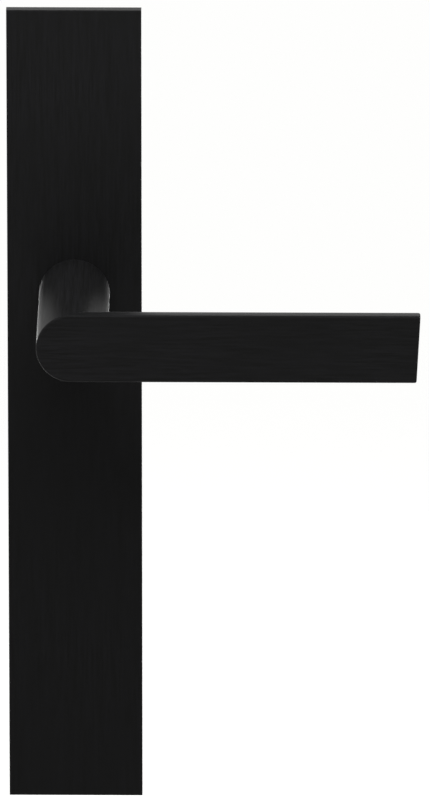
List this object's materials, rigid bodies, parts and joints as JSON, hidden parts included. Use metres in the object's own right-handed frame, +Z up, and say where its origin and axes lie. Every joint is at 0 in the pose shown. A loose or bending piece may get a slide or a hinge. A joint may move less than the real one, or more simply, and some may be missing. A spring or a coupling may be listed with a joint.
{
  "type": "door lever handle",
  "caption": "Satin black door lever on a long narrow rectangular plate, with a round neck, a flat-fronted grip, a square spindle and a sprung cassette behind the plate.",
  "frame": {"origin": "on the lever's turning axis, at the door's face, which is the back of the base plate", "axes": "+Y into the door along the spindle, -Y out to the hand, +X along the lever at rest, +Z up"},
  "size_m": [0.1228, 0.113, 0.249],
  "materials": {
    "black_brushed_steel": "satin black coating over fine brushed stainless steel",
    "zinc_plated_steel": "bright zinc plate",
    "turned_steel": "turned, oiled",
    "acetal": "natural, moulded",
    "die_cast_zinc": "as cast",
    "spring_steel": "drawn, oiled",
    "black_oxide_steel": "black oxide"
  },
  "bodies": {
    "plate": {"cover_plate": "black_brushed_steel", "base_plate": "zinc_plated_steel", "cover_clips": "spring_steel", "wood_screws": "zinc_plated_steel", "through_bolts": "zinc_plated_steel", "locating_lugs": "zinc_plated_steel", "front_bush": "acetal", "rear_bush": "acetal", "cassette_housing": "die_cast_zinc", "cassette_lid": "die_cast_zinc", "housing_screws": "zinc_plated_steel", "lid_screws": "zinc_plated_steel", "stop_pins": "turned_steel", "return_spring": "spring_steel"},
    "lever": {"lever_neck": "black_brushed_steel", "lever_grip": "black_brushed_steel", "drive_hub": "turned_steel", "spindle": "zinc_plated_steel", "grub_screw": "black_oxide_steel", "spring_driver": "turned_steel", "thrust_washer": "turned_steel", "spring_washer": "spring_steel", "circlip": "black_oxide_steel"}
  },
  "joints": [
    {"name": "lever_turn", "type": "hinge", "parent": "plate", "child": "lever", "pos_m": [0, 0, 0], "axis": [0, 1, 0], "range_deg": [0, 45], "stiffness_Nm_per_rad": 1, "springref_deg": -34.38, "deforming": ["return_spring"]}
  ]
}
